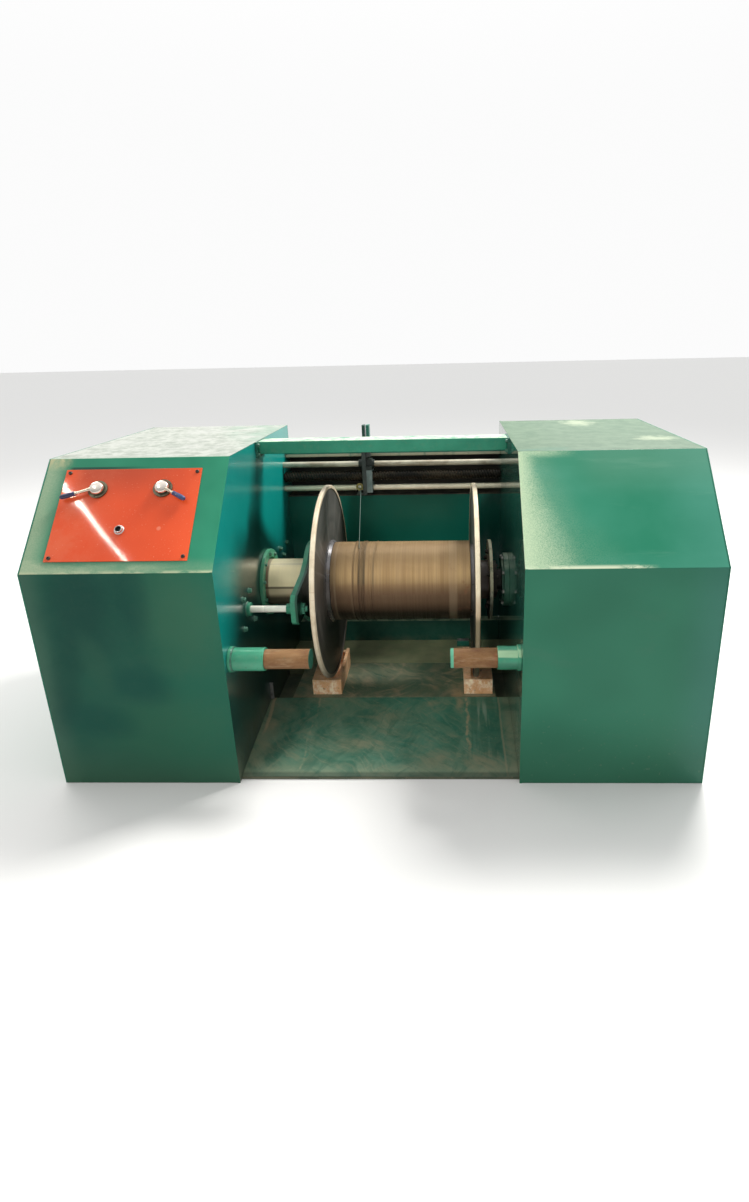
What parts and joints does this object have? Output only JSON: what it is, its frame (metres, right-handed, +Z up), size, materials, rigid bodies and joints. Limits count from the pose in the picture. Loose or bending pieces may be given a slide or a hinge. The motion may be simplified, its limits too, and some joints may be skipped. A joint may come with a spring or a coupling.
{
  "type": "spool take-up machine for a wire drawing line",
  "caption": "Wire spool take-up machine: sheet-metal housings joined by ramped floor and beams, driven spool held by a sliding tailstock, with screw-driven wire traverse.",
  "frame": {"origin": "on the ground, at the middle of the machine's width and depth", "axes": "+Z up, +X along the spool axis to the right seen from the front, front face towards -Y"},
  "size_m": [2.28, 1.145, 1.142],
  "materials": {
    "green_paint": "glossy",
    "dusty_paint": "worn",
    "red_panel": "glossy",
    "polished_steel": "polished",
    "grey_steel": "worn",
    "dark_steel": "oiled",
    "rusty_steel": "rusted",
    "cream_paint": "worn",
    "tan_wood": "rough",
    "wire": "drawn",
    "chrome": "polished"
  },
  "bodies": {
    "frame": {"base_floor": "dusty_paint", "ramp": "dusty_paint", "rear_floor": "dusty_paint", "cross_member": "green_paint", "rear_panel": "green_paint", "traverse_back": "dark_steel", "rear_beam": "green_paint", "front_beam": "green_paint", "beam_brackets": "green_paint", "left_shell": "green_paint", "left_inner_wall": "green_paint", "left_outer_wall": "green_paint", "right_shell": "green_paint", "right_inner_wall": "green_paint", "right_outer_wall": "green_paint", "control_plate": "red_panel", "valve_bodies": "chrome", "panel_plug": "dark_steel", "quill_ring": "green_paint", "guide_bush": "green_paint", "bearing_flange": "green_paint", "bar_sleeves": "green_paint", "table_posts": "polished_steel", "traverse_rods": "polished_steel"},
    "spool": {"left_flange": "grey_steel", "right_flange": "grey_steel", "spool_barrel": "grey_steel", "wound_wire": "wire", "drive_plate": "cream_paint", "drive_spindle": "dark_steel"},
    "tailstock": {"quill": "polished_steel", "tailstock_arm": "green_paint", "tailstock_rod": "polished_steel"},
    "centre": {"live_centre": "polished_steel"},
    "screw": {"lead_screw": "dark_steel"},
    "carriage": {"traverse_block": "grey_steel", "traverse_fork": "dark_steel", "wire_strand": "wire"},
    "table": {"lift_table": "dusty_paint", "saddles": "tan_wood"},
    "left_bar": {"left_stop_bar": "rusty_steel"},
    "right_bar": {"right_stop_bar": "rusty_steel"},
    "left_handle": {"left_lever": "chrome"},
    "right_handle": {"right_lever": "chrome"}
  },
  "joints": [
    {"name": "spool_spin", "type": "hinge", "parent": "frame", "child": "spool", "pos_m": [0, 0.0275, 0.547], "axis": [1, 0, 0], "continuous": true},
    {"name": "tailstock_slide", "type": "slide", "parent": "frame", "child": "tailstock", "axis": [-1, 0, 0], "range_m": [0, 0.1]},
    {"name": "centre_spin", "type": "hinge", "parent": "tailstock", "child": "centre", "pos_m": [-0.27, 0.0275, 0.547], "axis": [1, 0, 0], "continuous": true},
    {"name": "traverse_slide", "type": "slide", "parent": "frame", "child": "carriage", "axis": [1, 0, 0], "range_m": [-0.08, 0.44]},
    {"name": "screw_spin", "type": "hinge", "parent": "frame", "child": "screw", "pos_m": [0, 0.4325, 0.91], "axis": [1, 0, 0], "continuous": true},
    {"name": "table_lift", "type": "slide", "parent": "frame", "child": "table", "axis": [0, 0, 1], "range_m": [0, 0.013]},
    {"name": "left_bar_slide", "type": "slide", "parent": "frame", "child": "left_bar", "axis": [-1, 0, 0], "range_m": [0, 0.165]},
    {"name": "right_bar_slide", "type": "slide", "parent": "frame", "child": "right_bar", "axis": [1, 0, 0], "range_m": [0, 0.16]},
    {"name": "left_lever_turn", "type": "hinge", "parent": "frame", "child": "left_handle", "pos_m": [-0.936, -0.36415, 1.03454], "axis": [0, -0.7405, 0.6721], "range_deg": [-45, 45]},
    {"name": "right_lever_turn", "type": "hinge", "parent": "frame", "child": "right_handle", "pos_m": [-0.711, -0.36348, 1.03528], "axis": [0, -0.7405, 0.6721], "range_deg": [-45, 45]}
  ],
  "couplings": [
    {"joint": "screw_spin", "follows": "traverse_slide", "rad_per_m": -125.66}
  ]
}
